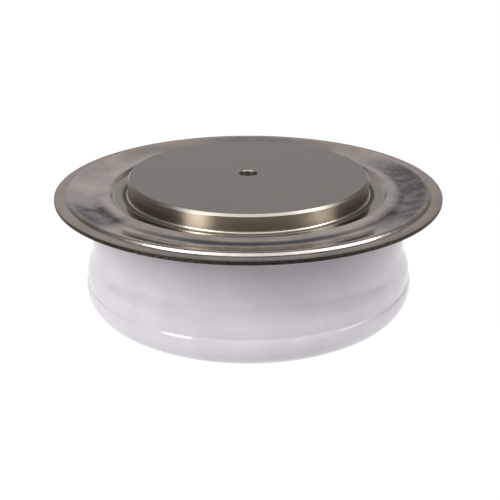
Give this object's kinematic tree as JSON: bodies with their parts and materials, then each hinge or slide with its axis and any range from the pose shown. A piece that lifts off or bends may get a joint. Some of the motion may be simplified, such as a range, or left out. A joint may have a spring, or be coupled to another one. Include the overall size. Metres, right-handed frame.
{
  "type": "disc thyristor",
  "caption": "Press-pack disc thyristor: nickel-plated copper poles and sheet flanges sealed to a glazed ceramic ring, with a spring-loaded gate contact inside.",
  "frame": {"origin": "centre of the anode pole's contact face, at the foot of the capsule", "axes": "+Z runs through both poles towards the cathode's contact face, and +Y points along the gate terminal"},
  "size_m": [0.075, 0.075, 0.026],
  "materials": {
    "nickel_plated_copper": "satin turned nickel plate on copper",
    "nickel_plated_sheet": "semi-gloss nickel plate on formed sheet",
    "braze": "smooth bright braze fillet",
    "glazed_alumina": "glossy white glaze",
    "silver": "annealed silver",
    "molybdenum": "lapped molybdenum",
    "silicon": "polished silicon",
    "silicone_rubber": "cast silicone rubber",
    "fluoropolymer": "waxy white plastic",
    "spring_steel": "drawn spring wire",
    "terminal_metal": "tin plate"
  },
  "bodies": {
    "root": {"anode_pole": "nickel_plated_copper", "base_flange": "nickel_plated_sheet", "base_braze_fillet": "braze", "ceramic_ring": "glazed_alumina", "weld_ring": "nickel_plated_sheet", "lid_flange": "nickel_plated_sheet", "lid_braze_fillet": "braze", "cathode_pole": "nickel_plated_copper", "anode_shim": "silver", "anode_molybdenum_disc": "molybdenum", "silicon_wafer": "silicon", "edge_seal_ring": "silicone_rubber", "centring_ring": "fluoropolymer", "cathode_molybdenum_disc": "molybdenum", "cathode_shim": "silver", "gate_insulator": "fluoropolymer", "gate_contact_pin": "terminal_metal", "gate_spring": "spring_steel", "gate_lead": "terminal_metal", "gate_lead_sleeve": "fluoropolymer", "gate_feedthrough": "nickel_plated_sheet", "gate_terminal": "terminal_metal"}
  },
  "joints": []
}
